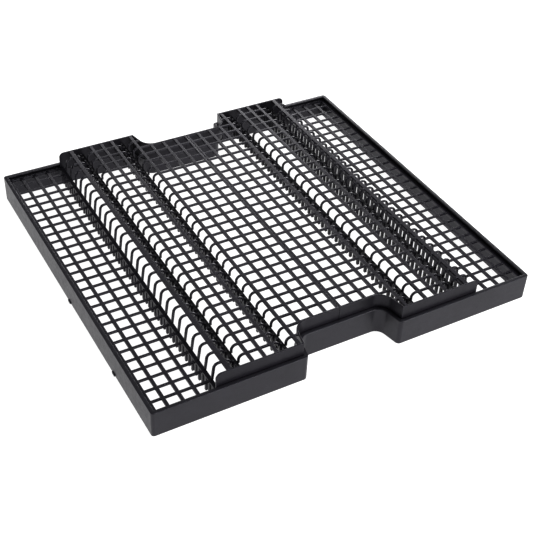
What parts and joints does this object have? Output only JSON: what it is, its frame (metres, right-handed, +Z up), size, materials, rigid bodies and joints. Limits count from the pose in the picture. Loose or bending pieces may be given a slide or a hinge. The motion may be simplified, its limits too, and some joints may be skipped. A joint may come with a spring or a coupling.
{
  "type": "cutlery tray",
  "caption": "Low open-grid plastic tray with notched ends: a walled rim carries lift-out corrugated grid inserts with side shelves, raised decks, valleys and comb fingers.",
  "frame": {"origin": "middle of the tray on its resting plane, under the rim's lower edge", "axes": "+X to the right across the decks, +Y to the back along the valleys, +Z up"},
  "size_m": [0.4824, 0.458, 0.05],
  "materials": {
    "rim_plastic": "satin moulded, near black",
    "wall_plastic": "satin moulded, near black",
    "grid_plastic": "satin moulded, near black",
    "comb_plastic": "satin moulded, near black"
  },
  "bodies": {
    "rim": {"outer_rim": "rim_plastic"},
    "left_insert": {"left_shelf_grid": "grid_plastic", "left_shelf_comb": "wall_plastic", "left_ridge_grid": "grid_plastic", "left_ridge_comb": "comb_plastic", "left_outer_valley": "comb_plastic", "left_platform_grid": "grid_plastic", "left_platform_comb": "comb_plastic", "left_inner_valley": "comb_plastic", "left_centre_grid": "grid_plastic", "left_front_end_wall": "wall_plastic", "left_back_end_wall": "wall_plastic"},
    "right_insert": {"right_centre_grid": "grid_plastic", "right_centre_comb": "comb_plastic", "right_inner_valley": "comb_plastic", "right_platform_grid": "grid_plastic", "right_platform_comb": "comb_plastic", "right_outer_valley": "comb_plastic", "right_ridge_grid": "grid_plastic", "right_shelf_comb": "wall_plastic", "right_shelf_grid": "grid_plastic", "right_front_end_wall": "wall_plastic", "right_back_end_wall": "wall_plastic"}
  },
  "joints": [
    {"name": "left_insert_lift", "type": "slide", "parent": "rim", "child": "left_insert", "axis": [0, 0, 1], "range_m": [0, 0.06]},
    {"name": "right_insert_lift", "type": "slide", "parent": "rim", "child": "right_insert", "axis": [0, 0, 1], "range_m": [0, 0.06]}
  ]
}
